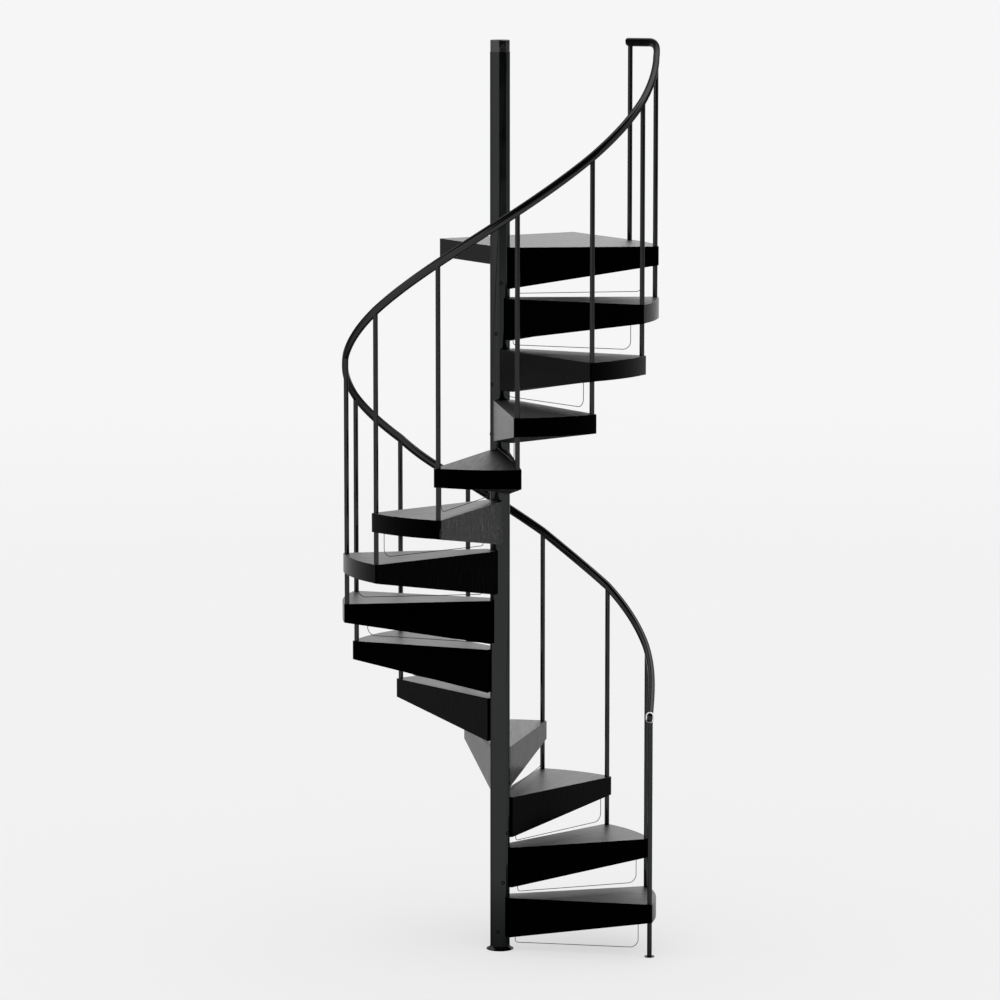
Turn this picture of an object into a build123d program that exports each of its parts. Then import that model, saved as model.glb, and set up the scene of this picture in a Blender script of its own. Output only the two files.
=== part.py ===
"""Spiral staircase round one central column.

Thirteen wedge treads and a landing turn counter-clockwise (seen from above) round a
steel column. Each baluster stands on the back outer corner of one tread, passes through
the front outer corner of the next one and carries the handrail. A thin riser bar hangs
under the front edge of every tread.

Millimetres and degrees. Z is up, the origin is the centre of the column's base flange on
the floor. Levels are counted from the floor: level 0 is the floor, level 14 the landing.
"""

from build123d import *
from math import atan2, cos, degrees, exp, hypot, radians, sin, sqrt, tan
import os

# ---- the climb -------------------------------------------------------------------------
tread_count = 13
first_rise = 241.5  # from the floor to the top of the first tread
rise = 224.7  # from one top surface to the next
turn_per_tread = 28.98
first_baluster_angle = -13.56  # of the baluster that stands on the floor

# ---- column ----------------------------------------------------------------------------
column_diameter = 88.0
column_wall = 4.0
column_top = 4019.0  # of the tube, without its cap
cap_diameter = 85.5
cap_height = 52.0
cap_plug_depth = 40.0  # of the cap inside the tube
cap_edge_chamfer = 2.0
base_diameter = 122.0
base_thickness = 4.0
base_flare_height = 12.0
base_spigot_height = 60.0  # stub inside the tube that centres the base
base_spigot_wall = 6.0

# ---- treads ----------------------------------------------------------------------------
outer_radius = 701.0
tread_hub_offset = 36.0  # from the axis to the inner end of the tread's cheeks
tread_hub_half_width = 36.5  # half the tread's width, taken at the axis
tread_hub_depth_front = 182.0
tread_hub_depth_back = 195.0
tread_outer_depth = 82.0
tread_level_end = 20.0  # of the underside, from the outer radius inwards
tread_corner_radius = 8.0
tread_edge_radius = 1.5
baluster_edge_margin = 18.0  # from a baluster's axis to the side of its tread

# ---- landing ---------------------------------------------------------------------------
platform_length = 524.0  # square to the last tread's back edge
platform_depth = 82.0
platform_side_overhang = 4.0  # past the column's axis

# ---- balusters -------------------------------------------------------------------------
baluster_end_margin = 15.0  # from a baluster's axis to the outer radius
baluster_diameter = 21.3
foot_diameter = 44.0
foot_thickness = 4.0

# ---- handrail --------------------------------------------------------------------------
rail_width = 28.0
rail_height = 38.0
rail_above_tread = 1108.0  # rail centre above the tread on which a baluster stands
rail_flat_per_bay = 1.5  # how far the rail cuts inside the circle between two balusters
rail_swing_in = 8.0  # how far its lowest part runs inside the circle at most
rail_swing_level = 0.5  # the level at which it does
rail_sags = {2: 8.5, 4: 14.0}  # how deep the rail sags past a baluster, by its level
rail_bend_below = 90.0  # length of the top bend before the last stair baluster
rail_bend_beyond = 110.0  # and past it
rail_overrun = 35.0  # past the landing's own baluster
rail_end_overrun = 46.0  # from the first baluster to the plumb-cut lower end
rail_stations_per_bay = 4
rail_bend_stations = 6
rail_cap_width = 36.0
rail_cap_height = 48.0
rail_cap_rim = 5.0
rail_cap_dome = 9.0

# ---- riser bars ------------------------------------------------------------------------
bar_diameter = 3.0
bar_below_hub = 21.0  # inner bend's height below the deepest point of the front face
bar_climb = 4.0  # from the inner bend to the outer one
bar_inset = 10.0  # bar centre behind the tread's front face
bar_outer_gap = 54.0  # outer leg from the front baluster's axis
bar_inner_gap = 30.0  # inner leg from the tread's inner end
bar_outer_bend = 38.0
bar_inner_bend = 12.0
bar_seat = 15.0  # leg length inside the tread

# ---- clearances ------------------------------------------------------------------------
slip = 0.3  # all round a rod or plug in its hole

# ---- worked out ------------------------------------------------------------------------
landing_level = tread_count + 1
column_radius = column_diameter / 2
half_turn = turn_per_tread / 2
bar_drop = tread_hub_depth_front + bar_below_hub
baluster_circle_radius = outer_radius - baluster_end_margin
baluster_local = (
    baluster_circle_radius * cos(radians(half_turn)),
    baluster_circle_radius * sin(radians(half_turn)),
)
underside_slope_length = outer_radius - tread_level_end - tread_hub_offset
# The cheek line leaves the hub at its half width and passes the baluster at its margin.
cheek_angle = degrees(
    atan2(baluster_local[1] + baluster_edge_margin - tread_hub_half_width, baluster_local[0])
)


def cheek_half_width(along):
    """Half the tread's width at a distance along its centre line."""
    return tread_hub_half_width + along * tan(radians(cheek_angle))


def outer_corner():
    """Where the cheek line meets the outer radius, in the tread's own axes."""
    slope = tan(radians(cheek_angle))
    a = 1 + slope**2
    b = 2 * tread_hub_half_width * slope
    c = tread_hub_half_width**2 - outer_radius**2
    along = (-b + sqrt(b**2 - 4 * a * c)) / (2 * a)
    return along, cheek_half_width(along)


def front_depth(along):
    """Depth of the tread's front face at a distance along the centre line."""
    share = (along - tread_hub_offset) / underside_slope_length
    return tread_hub_depth_front + (tread_outer_depth - tread_hub_depth_front) * share


def level_top(level):
    """Height of the surface on which a level's baluster stands."""
    return first_rise + (level - 1) * rise if level else 0.0


def baluster_angle(level):
    return first_baluster_angle + level * turn_per_tread


def tread_angle(level):
    return baluster_angle(level) - half_turn


def tread_plane(level):
    """Top surface of a tread, with X along the tread's centre line."""
    return Plane.XY.offset(level_top(level)).rotated((0, 0, tread_angle(level)))


def on_circle(radius, angle):
    return radius * cos(radians(angle)), radius * sin(radians(angle))


# ---- riser bar legs, in the tread's own axes --------------------------------------------
corner_along, corner_across = outer_corner()
cheek_direction = (cos(radians(cheek_angle)), -sin(radians(cheek_angle)))
cheek_inward = (sin(radians(cheek_angle)), cos(radians(cheek_angle)))
front_baluster_distance = (baluster_local[0] - tread_hub_offset) / cos(radians(cheek_angle))


def on_bar_line(distance):
    """A point of the riser bar's line, this far from the tread's inner end."""
    return (
        tread_hub_offset + distance * cheek_direction[0] + bar_inset * cheek_inward[0],
        -cheek_half_width(tread_hub_offset)
        + distance * cheek_direction[1]
        + bar_inset * cheek_inward[1],
    )


leg_distances = (bar_inner_gap, front_baluster_distance - bar_outer_gap)


def leg_top(distance):
    """Height of a leg's upper end below the tread's top surface."""
    return -front_depth(on_bar_line(distance)[0]) + bar_seat


def wedge_blank(level):
    """The wedge that every tread and the landing's front beam share."""
    plane = tread_plane(level)
    hub_half = cheek_half_width(tread_hub_offset)
    hub_end = Plane(
        plane.from_local_coords((tread_hub_offset, 0, 0)), x_dir=plane.y_dir, z_dir=plane.x_dir
    )
    slope_end = hub_end.offset(underside_slope_length)
    slope_end_half = cheek_half_width(tread_hub_offset + underside_slope_length)
    deepest = max(tread_hub_depth_front, tread_hub_depth_back)
    # the cuts reach past the cheeks by half the tread's width, along the same slope
    reach = 1.5
    middle_depth = (tread_hub_depth_front + tread_hub_depth_back) / 2
    tilt = (tread_hub_depth_back - tread_hub_depth_front) / 2 * reach
    with BuildPart(mode=Mode.PRIVATE) as blank:
        with BuildSketch(plane):
            with BuildLine():
                front_hub = (tread_hub_offset, -hub_half)
                back_hub = (tread_hub_offset, hub_half)
                front_corner = (corner_along, -corner_across)
                back_corner = (corner_along, corner_across)
                Line(front_hub, front_corner)
                ThreePointArc(front_corner, (outer_radius, 0), back_corner)
                Line(back_corner, back_hub)
                Line(back_hub, front_hub)
            make_face()
        extrude(amount=-deepest)
        with BuildSketch(hub_end):
            with BuildLine():
                Polyline(
                    (-reach * hub_half, tilt - middle_depth),
                    (reach * hub_half, -tilt - middle_depth),
                    (reach * hub_half, -2 * deepest),
                    (-reach * hub_half, -2 * deepest),
                    close=True,
                )
            make_face()
        with BuildSketch(slope_end):
            with BuildLine():
                Polyline(
                    (-reach * slope_end_half, -tread_outer_depth),
                    (reach * slope_end_half, -tread_outer_depth),
                    (reach * slope_end_half, -2 * deepest),
                    (-reach * slope_end_half, -2 * deepest),
                    close=True,
                )
            make_face()
        loft(ruled=True, mode=Mode.SUBTRACT)
        with BuildSketch(slope_end):
            with Locations((0, -tread_outer_depth)):
                Rectangle(2 * outer_radius, 2 * deepest, align=(Align.CENTER, Align.MAX))
        extrude(amount=outer_radius, mode=Mode.SUBTRACT)
    return blank.part


def cut_down(plane, radius, centre=(0, 0)):
    """Cuts a round hole in the part being built, from the plane down past the underside."""
    with BuildSketch(plane) as hole:
        with Locations(centre):
            Circle(radius)
    extrude(hole.sketch, amount=-tread_hub_depth_back, mode=Mode.SUBTRACT)


def bore_for_fittings(level):
    """Cuts the column's seat, the front baluster's hole and the riser bar's sockets."""
    plane = tread_plane(level)
    cut_down(plane, column_radius)
    front_baluster = (baluster_local[0], -baluster_local[1])
    cut_down(plane, baluster_diameter / 2 + slip, front_baluster)
    for distance in leg_distances:
        socket_top = plane.offset(leg_top(distance) + slip)
        cut_down(socket_top, bar_diameter / 2 + slip, on_bar_line(distance))


def rail_centre(level):
    """Centre of the handrail at a level, which may be a fraction."""
    bay = int(level)
    bow = 4 * (level - bay) * (bay + 1 - level)
    swing = level / rail_swing_level * exp(1 - level / rail_swing_level)
    inside = rail_flat_per_bay * bow + rail_swing_in * swing
    x, y = on_circle(baluster_circle_radius - inside, baluster_angle(level))
    sag = rail_sags.get(bay, 0) * bow
    return Vector(x, y, first_rise + (level - 1) * rise + rail_above_tread - sag)


def rail_route():
    """Points along the middle of the handrail, from its lower end to its upper end."""
    stations = tread_count * rail_stations_per_bay
    climb = [rail_centre(i / rail_stations_per_bay) for i in range(stations + 1)]
    last_stair_point = rail_centre(tread_count)
    landing_x, landing_y = on_circle(baluster_circle_radius, baluster_angle(landing_level))
    over_landing = Vector(landing_x, landing_y, last_stair_point.Z)
    level_run = (over_landing - last_stair_point).normalized()
    arrival = (last_stair_point - climb[-2]).normalized()
    # set off so that the rounded bend passes over the last stair baluster
    top_corner = last_stair_point + (arrival * rail_bend_below - level_run * rail_bend_beyond) / 4
    level_run = (over_landing - top_corner).normalized()
    arrival = (top_corner - climb[-3]).normalized()
    before = top_corner - arrival * rail_bend_below
    beyond = top_corner + level_run * rail_bend_beyond
    bend = [
        before * (1 - t) ** 2 + top_corner * (2 * t * (1 - t)) + beyond * t**2
        for t in [i / rail_bend_stations for i in range(rail_bend_stations + 1)]
    ]
    # the stair's last stations lie inside the bend and make way for it
    climb = [p for p in climb if (top_corner - p).length > rail_bend_below * 1.4]
    leaving = (climb[1] - climb[0]).normalized()
    lower_end = climb[0] - leaving * (rail_end_overrun + rail_height)
    upper_end = over_landing + level_run * rail_overrun
    return [lower_end] + climb + bend + [over_landing, upper_end]


def rail_frames(route):
    """A plane across the route at each point, its Y axis as upright as the route allows."""
    frames = []
    for i, point in enumerate(route):
        behind = route[max(i - 1, 0)]
        ahead = route[min(i + 1, len(route) - 1)]
        into = (point - behind).normalized() if i else Vector(0, 0, 0)
        out_of = (ahead - point).normalized() if i < len(route) - 1 else Vector(0, 0, 0)
        along = (into + out_of).normalized()
        sideways = along.cross(Vector(0, 0, 1)).normalized()
        frames.append(Plane(point, x_dir=sideways, z_dir=along))
    return frames


def save(piece, name):
    piece.label = name
    export_step(piece, f"parts/{name}.step")


os.makedirs("parts", exist_ok=True)

# ---- column, its base flange and its cap -------------------------------------------------
with BuildPart() as column:
    with BuildSketch(Plane.XY.offset(base_thickness)):
        Circle(column_radius)
        Circle(column_radius - column_wall, mode=Mode.SUBTRACT)
    extrude(amount=column_top - base_thickness)
save(column.part, "column")

spigot_radius = column_radius - column_wall - slip
spigot_top = base_thickness + base_spigot_height
flare_foot = (base_diameter / 2, base_thickness / 2)
flare_top = (column_radius + slip, base_thickness + base_flare_height)
with BuildPart() as column_base:
    with BuildSketch(Plane.XZ):
        with BuildLine():
            Polyline((0, 0), (base_diameter / 2, 0), flare_foot)
            Bezier(flare_foot, (column_radius + base_thickness, base_thickness), flare_top)
            Polyline(
                flare_top,
                (column_radius + slip, base_thickness),
                (spigot_radius, base_thickness),
                (spigot_radius, spigot_top),
                (spigot_radius - base_spigot_wall, spigot_top),
                (spigot_radius - base_spigot_wall, base_thickness),
                (0, base_thickness),
                (0, 0),
            )
        make_face()
    revolve(axis=Axis.Z)
save(column_base.part, "column_base")

with BuildPart() as column_cap:
    with BuildSketch(Plane.XY.offset(column_top)):
        Circle(cap_diameter / 2)
    extrude(amount=cap_height)
    chamfer(column_cap.edges().group_by(Axis.Z)[-1], length=cap_edge_chamfer)
    with BuildSketch(Plane.XY.offset(column_top)):
        Circle(column_radius - column_wall - slip)
    extrude(amount=-cap_plug_depth)
save(column_cap.part, "column_cap")

# ---- treads ------------------------------------------------------------------------------
for level in range(1, landing_level):
    centre_line = Axis(tread_plane(level).origin, tread_plane(level).x_dir)
    with BuildPart() as tread:
        add(wedge_blank(level))
        uprights = tread.edges().filter_by(Axis.Z).sort_by(centre_line)
        fillet(uprights[-2:], radius=tread_corner_radius)
        fillet(tread.faces().sort_by(Axis.Z)[-1].edges(), radius=tread_edge_radius)
        bore_for_fittings(level)
    save(tread.part, f"tread_{level:02d}")

# ---- landing -----------------------------------------------------------------------------
# A last tread in front and, along its back edge, a level platform with square corners.
platform_angle = tread_angle(landing_level) + cheek_angle
platform_plane = Plane.XY.offset(level_top(landing_level)).rotated((0, 0, platform_angle))
landing_axes = tread_plane(landing_level)
landing_along = Axis(landing_axes.origin, landing_axes.x_dir)
landing_across = Axis(landing_axes.origin, landing_axes.y_dir)
with BuildPart() as landing:
    add(wedge_blank(landing_level))
    outer_uprights = landing.edges().filter_by(Axis.Z).sort_by(landing_along)[-2:]
    fillet(outer_uprights.sort_by(landing_across)[0], radius=tread_corner_radius)
    with BuildSketch(platform_plane):
        with Locations((-platform_side_overhang, 0)):
            Rectangle(
                outer_radius + platform_side_overhang,
                platform_length,
                align=(Align.MIN, Align.MIN),
            )
    extrude(amount=-platform_depth)
    bore_for_fittings(landing_level)
save(landing.part, "landing")

# ---- handrail ----------------------------------------------------------------------------
frames = rail_frames(rail_route())
first_point = rail_centre(0)
leaving = frames[0].z_dir
outward = Vector(-leaving.X, -leaving.Y, 0).normalized()
slope = leaving.Z / hypot(leaving.X, leaving.Y)
end_point = first_point + outward * rail_end_overrun - Vector(0, 0, slope * rail_end_overrun)
lower_end_plane = Plane(end_point, x_dir=outward.cross(Vector(0, 0, 1)), z_dir=outward)
with BuildPart() as handrail:
    for frame in frames:
        with BuildSketch(frame):
            SlotOverall(rail_height, rail_width, rotation=90)
    loft(ruled=True)
    with BuildSketch(lower_end_plane):
        Circle(rail_height)
    extrude(amount=2 * rail_height, mode=Mode.SUBTRACT)
save(handrail.part, "handrail")

# The lower end is closed by a domed oval cap.
cap_plane = lower_end_plane
with BuildPart() as handrail_end_cap:
    with BuildSketch(cap_plane):
        SlotOverall(rail_cap_height, rail_cap_width, rotation=90)
    extrude(amount=rail_cap_rim)
    with BuildSketch(cap_plane.offset(rail_cap_rim)):
        SlotOverall(rail_cap_height, rail_cap_width, rotation=90)
    with BuildSketch(cap_plane.offset(rail_cap_rim + rail_cap_dome)):
        SlotOverall(rail_cap_height - rail_cap_dome, rail_cap_width - rail_cap_dome, rotation=90)
    loft()
save(handrail_end_cap.part, "handrail_end_cap")

# ---- balusters ---------------------------------------------------------------------------
for level in range(landing_level + 1):
    stand = level_top(level) if level else foot_thickness
    rail_level = rail_centre(min(level, tread_count)).Z
    x, y = on_circle(baluster_circle_radius, baluster_angle(level))
    with BuildPart() as baluster:
        with BuildSketch(Plane.XY.offset(stand)):
            with Locations((x, y)):
                Circle(baluster_diameter / 2)
        extrude(amount=rail_level - stand)
        add(handrail.part, mode=Mode.SUBTRACT)
    save(baluster.part, f"baluster_{level:02d}")

with BuildPart() as baluster_foot:
    with BuildSketch():
        with Locations(on_circle(baluster_circle_radius, baluster_angle(0))):
            Circle(foot_diameter / 2)
    extrude(amount=foot_thickness)
save(baluster_foot.part, "baluster_foot")

# ---- riser bars --------------------------------------------------------------------------
for level in range(1, landing_level + 1):
    plane = tread_plane(level)
    start = plane.from_local_coords((*on_bar_line(0), 0))
    ahead = plane.from_local_coords((*on_bar_line(1), 0))
    bar_plane = Plane(start, x_dir=ahead - start, z_dir=(ahead - start).cross(Vector(0, 0, 1)))
    inner, outer = leg_distances
    with BuildPart() as riser_bar:
        with BuildLine(bar_plane) as bar_route:
            FilletPolyline(
                (inner, leg_top(inner)),
                (inner, -bar_drop),
                (outer, bar_climb - bar_drop),
                (outer, leg_top(outer)),
                radius=[bar_inner_bend, bar_outer_bend],
            )
        with BuildSketch(Plane(bar_route.line @ 0, z_dir=bar_route.line % 0)):
            Circle(bar_diameter / 2)
        sweep()
    save(riser_bar.part, f"riser_bar_{level:02d}")
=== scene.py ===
import bpy
import math
import bmesh
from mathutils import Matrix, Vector


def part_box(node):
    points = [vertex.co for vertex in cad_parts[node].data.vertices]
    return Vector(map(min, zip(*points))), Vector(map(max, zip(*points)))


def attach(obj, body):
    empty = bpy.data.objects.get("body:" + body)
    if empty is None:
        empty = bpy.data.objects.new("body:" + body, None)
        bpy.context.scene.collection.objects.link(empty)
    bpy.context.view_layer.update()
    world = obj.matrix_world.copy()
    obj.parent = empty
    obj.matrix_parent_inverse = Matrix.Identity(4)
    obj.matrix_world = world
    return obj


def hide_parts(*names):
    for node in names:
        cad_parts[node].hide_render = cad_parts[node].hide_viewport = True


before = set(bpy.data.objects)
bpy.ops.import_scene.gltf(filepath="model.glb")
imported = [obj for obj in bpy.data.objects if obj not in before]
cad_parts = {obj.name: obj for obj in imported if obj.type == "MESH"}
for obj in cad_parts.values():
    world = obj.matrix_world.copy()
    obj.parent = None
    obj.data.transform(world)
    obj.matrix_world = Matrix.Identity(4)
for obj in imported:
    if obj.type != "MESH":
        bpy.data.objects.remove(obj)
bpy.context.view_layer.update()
scene = bpy.context.scene
UP = Vector((0, 0, 1))

# ---- camera ------------------------------------------------------------------------------
LENS = 166.7
SENSOR_WIDTH = 36.0
CLIP_END = 500.0
CAMERA_DISTANCE = 20.349
CAMERA_HEIGHT = 4.9055
CAMERA_TILT = 8.024  # degrees below the horizontal

camera_data = bpy.data.cameras.new("camera")
camera_data.lens = LENS
camera_data.sensor_width = SENSOR_WIDTH
camera_data.clip_end = CLIP_END
camera = bpy.data.objects.new("camera", camera_data)
camera.location = (0.0, -CAMERA_DISTANCE, CAMERA_HEIGHT)
camera.rotation_euler = (math.radians(90.0 - CAMERA_TILT), 0.0, 0.0)
scene.collection.objects.link(camera)
scene.camera = camera
scene.view_settings.view_transform = "Standard"

# ---- sizes of the CAD model that its boxes don't give, in metres --------------------------
TREADS = 13
LANDING = TREADS + 1
RAIL_WIDTH = 0.028
RAIL_HEIGHT = 0.038
RAIL_ABOVE_TREAD = 1.108
RAIL_FLAT = 0.0015  # how far it cuts inside the circle between two balusters
RAIL_SWING_IN = 0.008  # how far its lowest part runs inside the circle at most
RAIL_SWING_LEVEL = 0.5  # the level at which it does
RAIL_SAGS = {2: 0.0085, 4: 0.014}  # in the middle of these bays
RAIL_BEND_BELOW = 0.090
RAIL_BEND_BEYOND = 0.110
RAIL_CLEAR_OF_BEND = 1.4  # from the bend's corner to the climb, in shares of RAIL_BEND_BELOW
RAIL_OVERRUN = 0.035
RAIL_END_OVERRUN = 0.046
END_CAP_WIDTH = 0.036
END_CAP_HEIGHT = 0.048


# ---- node helpers ------------------------------------------------------------------------
class Nodes:
    """A short way to build a node tree: most calls return the new node's useful output."""

    def __init__(self, tree):
        self.tree = tree

    def add(self, kind, **settings):
        node = self.tree.nodes.new(kind)
        for key, value in settings.items():
            setattr(node, key, value)
        return node

    def feed(self, socket, value):
        if isinstance(value, bpy.types.NodeSocket):
            self.tree.links.new(value, socket)
        elif value is not None:
            socket.default_value = value

    def math(self, operation, a, b=None, c=None):
        node = self.add("ShaderNodeMath", operation=operation)
        for socket, value in zip(node.inputs, (a, b, c)):
            self.feed(socket, value)
        return node.outputs[0]

    def add_vectors(self, a, b):
        node = self.add("ShaderNodeVectorMath", operation="ADD")
        self.feed(node.inputs[0], a)
        self.feed(node.inputs[1], b)
        return node.outputs[0]

    def dot(self, vector, fixed):
        node = self.add("ShaderNodeVectorMath", operation="DOT_PRODUCT")
        self.feed(node.inputs[0], vector)
        node.inputs[1].default_value = fixed
        return node.outputs["Value"]

    def separate(self, vector):
        node = self.add("ShaderNodeSeparateXYZ")
        self.feed(node.inputs[0], vector)
        return node.outputs

    def ramp(self, value, low, high, out_low=0.0, out_high=1.0, smooth=True):
        node = self.add("ShaderNodeMapRange")
        node.interpolation_type = "SMOOTHSTEP" if smooth else "LINEAR"
        for socket, v in zip(node.inputs, (value, low, high, out_low, out_high)):
            self.feed(socket, v)
        return node.outputs[0]

    def mix(self, factor, a, b):
        node = self.add("ShaderNodeMix", data_type="FLOAT")
        for socket, value in zip(node.inputs[0:1] + node.inputs[2:4], (factor, a, b)):
            self.feed(socket, value)
        return node.outputs[0]

    def mix_color(self, factor, a, b):
        node = self.add("ShaderNodeMix", data_type="RGBA")
        self.feed(node.inputs["Factor"], factor)
        colors = [s for s in node.inputs if s.type == "RGBA"]
        for socket, value in zip(colors, (a, b)):
            self.feed(socket, value)
        return [s for s in node.outputs if s.type == "RGBA"][0]

    def mix_shader(self, factor, a, b):
        node = self.add("ShaderNodeMixShader")
        for socket, value in zip(node.inputs, (factor, a, b)):
            self.feed(socket, value)
        return node.outputs[0]

    def mapping(self, vector, scale=(1, 1, 1), rotation=(0, 0, 0), location=(0, 0, 0)):
        node = self.add("ShaderNodeMapping")
        self.feed(node.inputs["Vector"], vector)
        node.inputs["Scale"].default_value = scale
        node.inputs["Rotation"].default_value = rotation
        node.inputs["Location"].default_value = location
        return node.outputs[0]

    def noise(self, vector, scale=1.0, detail=3.0, rough=0.5, distortion=0.0):
        node = self.add("ShaderNodeTexNoise")
        self.feed(node.inputs["Vector"], vector)
        node.inputs["Scale"].default_value = scale
        node.inputs["Detail"].default_value = detail
        node.inputs["Roughness"].default_value = rough
        node.inputs["Distortion"].default_value = distortion
        return node.outputs["Fac"]

    def bump(self, height, distance):
        node = self.add("ShaderNodeBump")
        self.feed(node.inputs["Height"], height)
        node.inputs["Distance"].default_value = distance
        node.inputs["Strength"].default_value = 1.0
        return node.outputs[0]

    def object_coords(self):
        return self.add("ShaderNodeTexCoord").outputs["Object"]

    def normal(self):
        return self.add("ShaderNodeNewGeometry").outputs["Normal"]


def grey(shade):
    return (shade, shade, shade, 1.0)


def new_material(name, ior, tint=None, metallic=False):
    material = bpy.data.materials.new(name)
    material.use_nodes = True
    inputs = material.node_tree.nodes["Principled BSDF"].inputs
    inputs["IOR"].default_value = ior
    if tint is not None:
        inputs["Specular Tint"].default_value = grey(tint)
    if metallic:
        inputs["Metallic"].default_value = 1.0
    return material, Nodes(material.node_tree), inputs


# ---- materials ---------------------------------------------------------------------------
NOISE_SPAN = (0.3, 0.7)  # the part of a noise's range that is put to use
# a normal's part along an axis, at the two ends of a change from one kind of face to another
FLAT_FACE = (0.6, 0.8)
UNDERSIDE = (-0.8, -0.6)
END_FACE = (0.55, 0.85)
LEADING_CHEEK = (0.4, 0.7)
# scales of each pattern along the tread, across it and upright, per metre; a sway is how
# strongly the wave above it bends the grain
FLAT_GRAIN = (6.0, 90.0, 6.0)
SIDE_GRAIN = (120.0, 120.0, 9.0)
SIDE_WAVE = (24.0, 24.0, 24.0)
SIDE_SWAY = 3.0
OPEN_GRAIN = (78.0, 78.0, 7.0)
OPEN_WAVE = (26.0, 26.0, 34.0)
OPEN_SWAY = 2.0
PORES = (60.0, 420.0, 420.0)
WOOD_RELIEF = 0.0006  # in metres, and then shares of it
FLAT_GRAIN_HEIGHT = 0.45
OPEN_GRAIN_HEIGHT = 1.1
PORE_HEIGHT = 0.06
END_GRAIN_SHARE = 0.3
# the figures where the side grain stops growing stronger, where the open grain begins to
# show, and where it shows in full
SIDE_FIGURE_LIMIT = 4.5
OPEN_FIGURE_NONE = 2.2
OPEN_FIGURE_FULL = 9.0
OPEN_LINE_WIDTH = 0.05
# colour of the open grain lines: a painted highlight that stands in for grazing reflections
OPEN_LINE_PAINTED_HIGHLIGHT = 0.034
STAIN_SHADES = (0.0001, 0.0005)
SIDE_ROUGHNESS = (0.27, 0.19)
TOP_ROUGHNESS = (0.46, 0.36)
UNDERSIDE_ROUGHNESS = 0.95
COAT_ROUGHNESS = 0.60
COAT_IOR = 1.3


def stained_wood(name, angle, shift, figure, coat):
    """Black stained oak: grain along the tread on its top, upright on its sides.

    The figure is the strength of the side grain. Where it is strong, wavy lines of open grain
    show on the cheek that leads up the stair: their relief is grain, and their pale colour is a
    painted highlight that stands in for grazing reflections off it. The coat is how much
    lacquer the top has.
    """
    material, n, inputs = new_material(name, ior=1.2, tint=0.0)
    local = n.mapping(n.object_coords(), rotation=(0, 0, -angle), location=(shift,) * 3)
    normal = n.normal()
    upward = n.separate(normal)[2]
    is_flat = n.ramp(n.math("ABSOLUTE", upward), *FLAT_FACE)
    is_underside = n.ramp(upward, *UNDERSIDE, 1.0, 0.0)
    lengthways = n.dot(normal, (math.cos(angle), math.sin(angle), 0.0))
    cheek = n.ramp(n.math("ABSOLUTE", lengthways), *END_FACE, 1.0, END_GRAIN_SHARE)
    leading = n.ramp(n.dot(normal, (-math.sin(angle), math.cos(angle), 0.0)), *LEADING_CHEEK)

    flat_grain = n.noise(n.mapping(local, scale=FLAT_GRAIN), 1.0, 4.0, 0.55, 0.3)
    wave = n.noise(n.mapping(local, scale=SIDE_WAVE), detail=2.0)
    swayed = n.add_vectors(n.mapping(local, scale=SIDE_GRAIN), n.math("MULTIPLY", wave, SIDE_SWAY))
    side_grain = n.noise(swayed, detail=3.0, distortion=0.3)
    wave = n.noise(n.mapping(local, scale=OPEN_WAVE), detail=1.0)
    swayed = n.add_vectors(n.mapping(local, scale=OPEN_GRAIN), n.math("MULTIPLY", wave, OPEN_SWAY))
    lines = n.noise(swayed, detail=1.0, rough=0.4)
    off_line = n.math("ABSOLUTE", n.math("SUBTRACT", lines, 0.5))
    open_range = OPEN_FIGURE_FULL - OPEN_FIGURE_NONE
    open_share = max(0.0, figure - OPEN_FIGURE_NONE) / open_range
    shown = n.math("MULTIPLY", leading, open_share)
    on_line = n.math("MULTIPLY", n.ramp(off_line, 0.0, OPEN_LINE_WIDTH, 1.0, 0.0), shown)
    pores = n.noise(n.mapping(local, scale=PORES), detail=2.0)

    strength = n.math("MULTIPLY", cheek, min(figure, SIDE_FIGURE_LIMIT))
    side_height = n.math("MULTIPLY", side_grain, strength)
    side_height = n.math("MULTIPLY_ADD", on_line, OPEN_GRAIN_HEIGHT, side_height)
    flat_height = n.math("MULTIPLY", flat_grain, FLAT_GRAIN_HEIGHT)
    height = n.mix(is_flat, side_height, flat_height)
    relief = n.bump(n.math("MULTIPLY_ADD", pores, PORE_HEIGHT, height), WOOD_RELIEF)
    n.feed(inputs["Normal"], relief)
    n.feed(inputs["Coat Normal"], relief)
    n.feed(inputs["Coat Weight"], n.ramp(upward, *FLAT_FACE, 0.0, coat))
    inputs["Coat Roughness"].default_value = COAT_ROUGHNESS
    inputs["Coat IOR"].default_value = COAT_IOR

    grain = n.mix(is_flat, side_grain, flat_grain)
    on_sides = n.ramp(grain, *NOISE_SPAN, *SIDE_ROUGHNESS, smooth=False)
    on_top = n.ramp(grain, *NOISE_SPAN, *TOP_ROUGHNESS, smooth=False)
    roughness = n.mix(is_flat, on_sides, on_top)
    n.feed(inputs["Roughness"], n.mix(is_underside, roughness, UNDERSIDE_ROUGHNESS))
    stain = n.mix_color(grain, *map(grey, STAIN_SHADES))
    # painted highlight: the open grain lines are coloured pale, standing in for grazing
    # reflections off the grain
    n.feed(inputs["Base Color"], n.mix_color(on_line, stain, grey(OPEN_LINE_PAINTED_HIGHLIGHT)))
    return material


def dress(n, inputs, relief, drift, depth, roughness, shades):
    """Fine relief, and a roughness and a colour that drift over the surface."""
    n.feed(inputs["Normal"], n.bump(relief, depth))
    n.feed(inputs["Roughness"], n.ramp(drift, *NOISE_SPAN, *roughness))
    n.feed(inputs["Base Color"], n.mix_color(drift, *shades))


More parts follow.
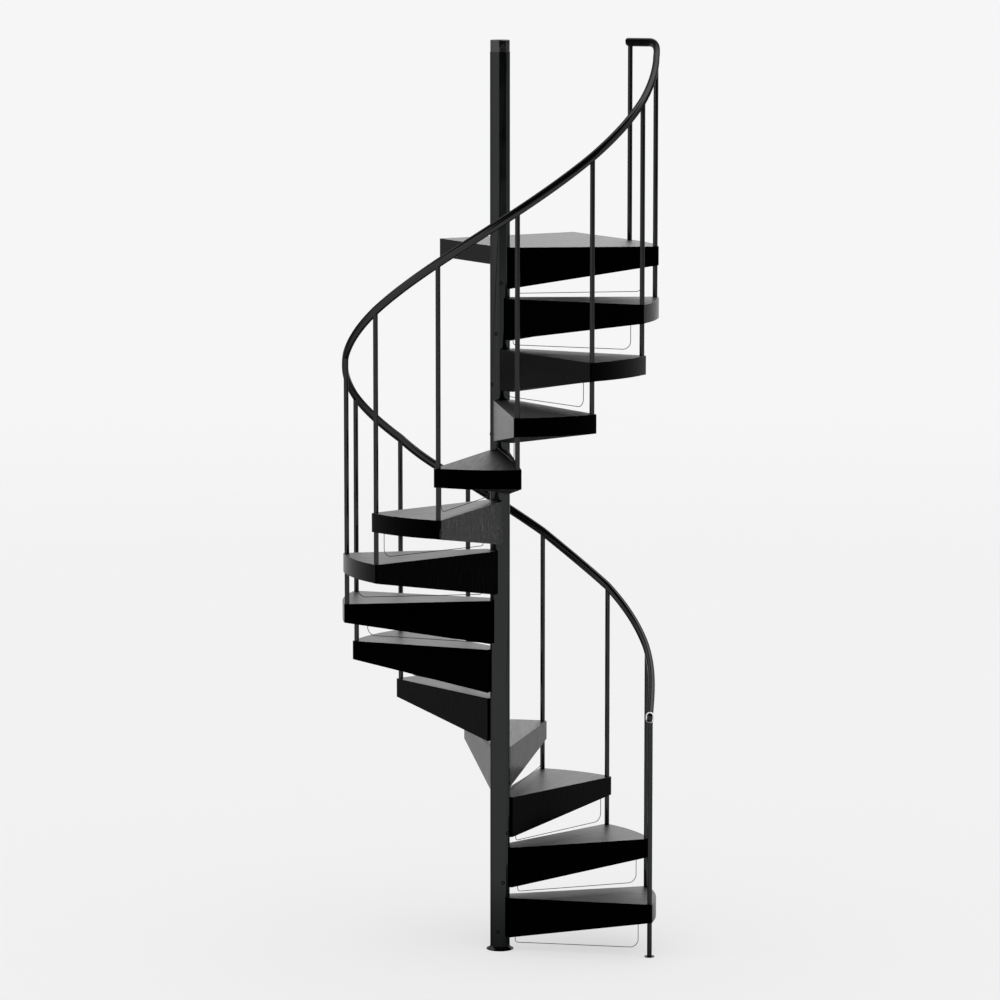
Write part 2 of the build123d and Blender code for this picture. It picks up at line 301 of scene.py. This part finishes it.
def painted_steel():
    """Gloss black paint on tube, with a faint orange peel."""
    material, n, inputs = new_material("black_painted_steel", ior=1.48, tint=0.45, metallic=True)
    coords = n.object_coords()
    peel = n.noise(coords, 260.0, detail=2.0)
    drift = n.noise(coords, 7.0)
    shades = ((0.0315, 0.0338, 0.0332, 1.0), (0.0375, 0.0398, 0.0392, 1.0))
    dress(n, inputs, peel, drift, depth=0.00002, roughness=(0.08, 0.13), shades=shades)
    return material


def coated_rail():
    """Black coating on the handrail: smooth, glossy, with a faint orange peel."""
    material, n, inputs = new_material("black_coated_rail", ior=1.47, tint=0.36, metallic=True)
    coords = n.object_coords()
    peel = n.noise(coords, 420.0, detail=2.0)
    drift = n.noise(coords, 12.0)
    shades = (grey(0.034), grey(0.042))
    dress(n, inputs, peel, drift, depth=0.00004, roughness=(0.10, 0.16), shades=shades)
    return material


def buffed_cap():
    """The column's cap: dark metal, buffed a little unevenly."""
    material, n, inputs = new_material("dark_buffed_cap", ior=1.5, tint=0.5, metallic=True)
    coords = n.object_coords()
    dents = n.noise(coords, 55.0, detail=2.0)
    drift = n.noise(coords, 30.0)
    shades = (grey(0.060), grey(0.090))
    dress(n, inputs, dents, drift, depth=0.0006, roughness=(0.08, 0.16), shades=shades)
    return material


def black_oxide():
    """Dull black finish of the screws."""
    material, n, inputs = new_material("black_oxide", ior=1.12)
    speck = n.noise(n.object_coords(), 900.0, detail=2.0)
    shades = (grey(0.0010), grey(0.0030))
    dress(n, inputs, speck, speck, depth=0.00003, roughness=(0.70, 0.85), shades=shades)
    return material


def polished_metal():
    """The rail's end cap, polished and lightly scuffed."""
    material, n, inputs = new_material("polished_cap_metal", ior=1.5, metallic=True)
    scuff = n.noise(n.mapping(n.object_coords(), scale=(900.0, 900.0, 180.0)), detail=2.0)
    shades = ((0.70, 0.70, 0.69, 1.0), grey(0.80))
    dress(n, inputs, scuff, scuff, depth=0.00001, roughness=(0.07, 0.16), shades=shades)
    return material


# ---- where things are, from the frame ----------------------------------------------------
def centre_xy(name):
    low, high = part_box(name)
    return Vector(((low.x + high.x) / 2, (low.y + high.y) / 2, 0.0))


baluster_at = [centre_xy(f"baluster_{level:02d}") for level in range(LANDING + 1)]
circle_radius = baluster_at[0].length
first_angle = math.atan2(baluster_at[0].y, baluster_at[0].x)
turn = math.atan2(baluster_at[1].y, baluster_at[1].x) - first_angle
tread_tops = [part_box(f"tread_{level:02d}")[1].z for level in range(1, LANDING)]
rise = (tread_tops[-1] - tread_tops[0]) / (TREADS - 1)


def tread_angle(level):
    return first_angle + (level - 0.5) * turn


# ---- finishes of the CAD nodes -----------------------------------------------------------
PLAIN_FIGURE = 1.3
STRONG_FIGURE = {4: 2.4, 8: 2.4, 9: 9.0, 11: 2.0, 13: 2.4}  # by level
FULL_COAT = 1.0
THIN_COAT = {10: 0.3}
GRAIN_SHIFT = 0.37  # metres from one tread's piece of the pattern to the next's
steel = painted_steel()
coating = coated_rail()
chrome = polished_metal()
oxide = black_oxide()
finishes = {"handrail": coating, "handrail_end_cap": chrome, "column_cap": buffed_cap()}


def wood_of(level):
    figure = STRONG_FIGURE.get(level, PLAIN_FIGURE)
    coat = THIN_COAT.get(level, FULL_COAT)
    name = f"black_stained_wood_{level:02d}"
    return stained_wood(name, tread_angle(level), level * GRAIN_SHIFT, figure, coat)


for name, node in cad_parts.items():
    if name == "landing":
        material = wood_of(LANDING)
    elif name.startswith("tread_"):
        material = wood_of(int(name[-2:]))
    else:
        material = finishes.get(name, steel)
    for material_slot in node.material_slots:
        material_slot.material = material


# ---- mesh helpers ------------------------------------------------------------------------
def across(points, i):
    """The route's direction at a point, and the sideways and upright axes across it."""
    ahead = points[min(i + 1, len(points) - 1)]
    behind = points[max(i - 1, 0)]
    along = (ahead - behind).normalized()
    side = along.cross(UP).normalized()
    return along, side, side.cross(along).normalized()


def skin(bm, rings):
    """Joins a row of rings of equal length into one closed skin."""
    rows = [[bm.verts.new(p) for p in ring] for ring in rings]
    count = len(rows[0])
    for lower, upper in zip(rows, rows[1:]):
        for i in range(count):
            j = (i + 1) % count
            bm.faces.new((lower[i], lower[j], upper[j], upper[i]))
    bm.faces.new(list(reversed(rows[0])))
    bm.faces.new(rows[-1])


def make_piece(bm, name, material, smooth_angle=40):
    bmesh.ops.recalc_face_normals(bm, faces=bm.faces)
    mesh = bpy.data.meshes.new(name)
    bm.to_mesh(mesh)
    bm.free()
    mesh.materials.append(material)
    mesh.polygons.foreach_set("use_smooth", [True] * len(mesh.polygons))
    mesh.set_sharp_from_angle(angle=math.radians(smooth_angle))
    piece = bpy.data.objects.new(name, mesh)
    scene.collection.objects.link(piece)
    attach(piece, "root")
    return piece


def skinned_piece(rings, name, material):
    bm = bmesh.new()
    skin(bm, rings)
    return make_piece(bm, name, material)


# ---- handrail ----------------------------------------------------------------------------
RAIL_POINTS_PER_BAY = 16
RAIL_BEND_STEPS = 20
END_ROUND_ABOVE = 0.007
END_ROUND_BELOW = 0.019
END_ROUND_SIDE = 0.006
END_ROUNDING_STEPS = 8


def rail_centre(level):
    """Centre of the handrail at a level, which may be a fraction."""
    bay = int(level)
    share = level - bay
    bow = 4 * share * (1 - share)
    swing = level / RAIL_SWING_LEVEL * math.exp(1 - level / RAIL_SWING_LEVEL)
    radius = circle_radius - RAIL_FLAT * bow - RAIL_SWING_IN * swing
    angle = first_angle + level * turn
    z = tread_tops[0] + (level - 1) * rise + RAIL_ABOVE_TREAD - RAIL_SAGS.get(bay, 0.0) * bow
    return Vector((radius * math.cos(angle), radius * math.sin(angle), z))


def rail_line():
    """Points along the middle of the handrail, from its lower end to its upper end."""
    stations = TREADS * RAIL_POINTS_PER_BAY
    climb = [rail_centre(i / RAIL_POINTS_PER_BAY) for i in range(stations + 1)]
    last = rail_centre(TREADS)
    over_landing = Vector((*baluster_at[LANDING].xy, last.z))
    level_run = (over_landing - last).normalized()
    arrival = (last - rail_centre(TREADS - 0.25)).normalized()
    # set off so that the rounded bend passes over the last stair baluster
    corner = last + (arrival * RAIL_BEND_BELOW - level_run * RAIL_BEND_BEYOND) / 4
    level_run = (over_landing - corner).normalized()
    arrival = (corner - rail_centre(TREADS - 0.5)).normalized()
    before = corner - arrival * RAIL_BEND_BELOW
    beyond = corner + level_run * RAIL_BEND_BEYOND
    steps = [i / RAIL_BEND_STEPS for i in range(RAIL_BEND_STEPS + 1)]
    bend = [before * (1 - t) ** 2 + corner * (2 * t * (1 - t)) + beyond * t**2 for t in steps]
    clear = RAIL_BEND_BELOW * RAIL_CLEAR_OF_BEND
    return [p for p in climb if (corner - p).length > clear] + bend + [over_landing]


def slot_ring(width, height, arc_steps=12):
    """Outline of an upright slot, half circles above and below."""
    radius = width / 2
    straight = (height - width) / 2
    turns = [math.pi * i / arc_steps for i in range(arc_steps + 1)]
    upper = [(radius * math.cos(a), straight + radius * math.sin(a)) for a in turns]
    return upper + [(-u, -v) for u, v in upper]


line = rail_line()
rail_section = slot_ring(RAIL_WIDTH, RAIL_HEIGHT)
leaving, side, up = across(line, 0)
outward = Vector((-leaving.x, -leaving.y, 0)).normalized()
fall = leaving.z / leaving.xy.length
end_centre = line[0] + outward * RAIL_END_OVERRUN - UP * (fall * RAIL_END_OVERRUN)
# the lower end is the first ring slid along the rail onto an upright plane
plumb_end = []
for u, v in rail_section:
    start = line[0] + side * u + up * v
    travel = (end_centre - start).dot(outward) / leaving.dot(outward)
    plumb_end.append(start + leaving * travel)
rings = [plumb_end]
for i, point in enumerate(line):
    along, side, up = across(line, i)
    rings.append([point + side * u + up * v for u, v in rail_section])
# the upper end is rounded: widely below, tightly above and at the sides
for step in range(END_ROUNDING_STEPS + 1):
    swing = math.radians(90.0) * step / END_ROUNDING_STEPS
    tucked = 1 - math.cos(swing)
    ring = []
    for u, v in rail_section:
        share = (RAIL_HEIGHT / 2 - v) / RAIL_HEIGHT
        reach = END_ROUND_ABOVE + (END_ROUND_BELOW - END_ROUND_ABOVE) * share
        shrink = 1 - END_ROUND_SIDE / (RAIL_WIDTH / 2) * tucked
        lift = END_ROUND_BELOW * tucked * share
        drop = END_ROUND_ABOVE * tucked * (1 - share)
        forth = RAIL_OVERRUN - reach * (1 - math.sin(swing))
        ring.append(line[-1] + along * forth + side * (u * shrink) + up * (v + lift - drop))
    rings.append(ring)
handrail = skinned_piece(rings, "handrail_rounded", coating)
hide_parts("handrail")

# ---- end cap: a polished bevel round a domed black middle ---------------------------------
# each row is the inset from the outline, and how far it stands out
RING_PROFILE = [
    (0.0, 0.0),
    (0.0, 0.0056),
    (0.0003, 0.0061),
    (0.0009, 0.0062),
    (0.0040, 0.0047),
    (0.0072, 0.0026),
    (0.0085, 0.0015),
    (0.0085, 0.0004),
]
MIDDLE_PROFILE = [
    (0.0083, 0.0004),
    (0.0083, 0.0018),
    (0.0092, 0.0035),
    (0.0108, 0.0054),
    (0.0130, 0.0069),
    (0.0155, 0.0077),
    (0.0172, 0.0080),
]
cap_side = outward.cross(UP).normalized()


def cap_rings(profile):
    for inset, proud in profile:
        ring = slot_ring(END_CAP_WIDTH - 2 * inset, END_CAP_HEIGHT - 2 * inset, arc_steps=20)
        base = end_centre + outward * proud
        yield [base + cap_side * u + UP * v for u, v in ring]


end_cap = skinned_piece(
    list(cap_rings(RING_PROFILE)), "handrail_end_cap_ring", chrome
)
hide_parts("handrail_end_cap")
skinned_piece(
    list(cap_rings(MIDDLE_PROFILE)), "handrail_end_cap_middle", coating
)

# ---- screws in the column ------------------------------------------------------------------
SCREW_RADIUS = 0.0085
SCREW_PROUD = 0.0014
SCREW_SUNK = 0.0004
SCREW_BELOW_TREAD = 0.156
SCREW_SIDE_ANGLE = math.radians(102.0)
SCREW_SIDES = 30
# each row is a share of the radius, and a share of how far the head stands out
HEAD_PROFILE = [(1.0, -0.4), (1.0, 0.2), (0.92, 0.6), (0.78, 0.9), (0.68, 1.0), (0.62, 0.96)]
SOCKET_PROFILE = [(0.58, 0.9), (0.56, -0.2)]
SIXTH_TURN = math.pi / 3


def hexagon(angle):
    """How far a hexagon's edge lies from its middle, where its corners lie at 1."""
    from_side = (angle + SIXTH_TURN / 2) % SIXTH_TURN - SIXTH_TURN / 2
    return math.cos(SIXTH_TURN / 2) / math.cos(from_side)


def screw_ring(centre, outward, share, proud, hexagonal):
    sideways = outward.cross(UP).normalized()
    ring = []
    for i in range(SCREW_SIDES):
        a = 2 * math.pi * i / SCREW_SIDES
        r = SCREW_RADIUS * share * (hexagon(a) if hexagonal else 1.0)
        offset = sideways * (r * math.cos(a)) + UP * (r * math.sin(a))
        ring.append(centre + offset + outward * (SCREW_PROUD * proud))
    return ring


def button_head(bm, centre, outward):
    """A domed screw head with a hexagonal socket, on the column's skin."""
    head = [screw_ring(centre, outward, *row, hexagonal=False) for row in HEAD_PROFILE]
    socket = [screw_ring(centre, outward, *row, hexagonal=True) for row in SOCKET_PROFILE]
    skin(bm, head + socket)


column_low, column_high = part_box("column")
column_radius = (column_high.x - column_low.x) / 2
bm = bmesh.new()
for level, top in enumerate(tread_tops + [tread_tops[-1] + rise], start=1):
    angle = tread_angle(level) - SCREW_SIDE_ANGLE
    away = Vector((math.cos(angle), math.sin(angle), 0))
    at = away * (column_radius - SCREW_SUNK) + UP * (top - SCREW_BELOW_TREAD)
    button_head(bm, at, away)
make_piece(bm, "column_screws", oxide, smooth_angle=30)

# ---- floor -------------------------------------------------------------------------------
FLOOR_RADIUS = 18.0
FLOOR_FADE = 7.0
FLOOR_SHADE = 0.888
BACKDROP_SHADE = 0.922
FLOOR_MOTTLE = 0.004
SHADOW_LIFT = 0.64  # how far the floor's own shading gives way to its plain shade
# painted shade: reflections see the floor's colour darkened close to the stair, standing in for
# the stair's shadow on it
NEAR_FLOOR = (0.1, 1.8)
NEAR_FLOOR_PAINTED_SHADE = 0.45

floor_material, n, inputs = new_material("studio_floor", ior=1.45)
inputs["Roughness"].default_value = 0.9
inputs["Specular IOR Level"].default_value = 0.0
length = n.add("ShaderNodeVectorMath", operation="LENGTH")
n.feed(length.inputs[0], n.object_coords())
from_middle = length.outputs["Value"]
patches = n.noise(n.object_coords(), 0.6, detail=2.0)
mottle = n.ramp(patches, 0.0, 1.0, -FLOOR_MOTTLE, FLOOR_MOTTLE)
floor_color = n.math("ADD", mottle, FLOOR_SHADE)
light_path = n.add("ShaderNodeLightPath").outputs
# painted shade: for glossy rays the floor's colour is darkened close to the stair
near_painted_shade = n.ramp(from_middle, *NEAR_FLOOR, NEAR_FLOOR_PAINTED_SHADE, 1.0)
reflected_share = n.mix(light_path["Is Glossy Ray"], 1.0, near_painted_shade)
n.feed(inputs["Base Color"], n.math("MULTIPLY", floor_color, reflected_share))
plain = n.add("ShaderNodeEmission")
plain.inputs["Color"].default_value = grey(FLOOR_SHADE)
shaded = floor_material.node_tree.nodes["Principled BSDF"].outputs[0]
lift = n.math("MULTIPLY", light_path["Is Camera Ray"], SHADOW_LIFT)
lifted = n.mix_shader(lift, shaded, plain.outputs[0])
fade = n.ramp(from_middle, FLOOR_RADIUS - FLOOR_FADE, FLOOR_RADIUS)
see_through = n.add("ShaderNodeBsdfTransparent").outputs[0]
surface = floor_material.node_tree.nodes["Material Output"].inputs["Surface"]
n.feed(surface, n.mix_shader(fade, lifted, see_through))
bm = bmesh.new()
bmesh.ops.create_circle(bm, cap_ends=True, radius=FLOOR_RADIUS, segments=128)
floor_mesh = bpy.data.meshes.new("floor")
bm.to_mesh(floor_mesh)
bm.free()
floor_mesh.materials.append(floor_material)
floor = bpy.data.objects.new("floor", floor_mesh)
scene.collection.objects.link(floor)

# ---- studio ------------------------------------------------------------------------------
# what reflections see: each row is degrees round from the camera's side, positive to
# the left, and the wall's shade there
STUDIO_WALLS = [
    (-180, 0.65),
    (-150, 0.54),
    (-131, 0.84),
    (-92, 0.66),
    (-78, 0.55),
    (-73, 0.03),
    (9, 0.03),
    (12, 1.00),
    (70, 1.00),
    (119, 0.95),
    (158, 0.84),
    (168, 0.65),
    (180, 0.65),
]
CEILING_SHADE = 0.04
REAR_LOW = 0.12
REAR_HIGH = 1.75
REAR_LEFT = 0.88  # shares of the rear walls' shade
REAR_RIGHT = 1.5
REAR_MIDDLE = 0.06  # half the width of the change from left to right
# degrees round, and degrees above the horizontal, between which one part of the studio
# gives way to the next
FRONT_TO_REAR = (80.0, 110.0)
WALL_TO_CEILING = (12.0, 22.0)
FRONT_TO_REAR_WALL = (0.0, 4.0)
REAR_WALL = (4.0, 14.0)
FLOOR_TO_WALL = (-5.5, -4.5)
FLOOR_TO_BACKDROP = (-9.5, -6.5)

world = bpy.data.worlds.new("studio")
scene.world = world
world.use_nodes = True
n = Nodes(world.node_tree)
x, y, z = n.separate(n.add("ShaderNodeTexCoord").outputs["Generated"])
to_degrees = math.degrees(1.0)
elevation = n.math("MULTIPLY", n.math("ARCSINE", z), to_degrees)
leftward = n.math("MULTIPLY", x, -1.0)
frontward = n.math("MULTIPLY", y, -1.0)
round_about = n.math("MULTIPLY", n.math("ARCTAN2", leftward, frontward), to_degrees)
walls = n.add("ShaderNodeValToRGB")
n.feed(walls.inputs[0], n.ramp(round_about, -180.0, 180.0, smooth=False))
stops = walls.color_ramp.elements
stops.remove(stops[1])
for i, (degrees_round, wall_shade) in enumerate(STUDIO_WALLS):
    place = (degrees_round + 180) / 360
    stop = stops[0] if i == 0 else stops.new(place)
    stop.position = place
    stop.color = grey(wall_shade)
# upwards, the studio grows dark in front and lighter behind the object
behind = n.ramp(n.math("ABSOLUTE", round_about), *FRONT_TO_REAR)
rear_share = n.ramp(x, -REAR_MIDDLE, REAR_MIDDLE, REAR_LEFT, REAR_RIGHT)
rear = n.math("MULTIPLY", n.ramp(elevation, *REAR_WALL, REAR_LOW, REAR_HIGH), rear_share)
front = n.mix(n.ramp(elevation, *WALL_TO_CEILING), walls.outputs[0], CEILING_SHADE)
is_rear = n.math("MULTIPLY", behind, n.ramp(elevation, *FRONT_TO_REAR_WALL))
above = n.mix(is_rear, front, rear)
reflected = n.mix(n.ramp(elevation, *FLOOR_TO_WALL), FLOOR_SHADE, above)
seen = n.ramp(elevation, *FLOOR_TO_BACKDROP, FLOOR_SHADE, BACKDROP_SHADE)
light_path = n.add("ShaderNodeLightPath").outputs
studio_shade = n.mix(light_path["Is Glossy Ray"], 1.0, reflected)
studio_shade = n.mix(light_path["Is Transmission Ray"], studio_shade, seen)
studio_shade = n.mix(light_path["Is Camera Ray"], studio_shade, seen)
background = world.node_tree.nodes["Background"]
n.feed(background.inputs["Color"], studio_shade)
background.inputs["Strength"].default_value = 1.0
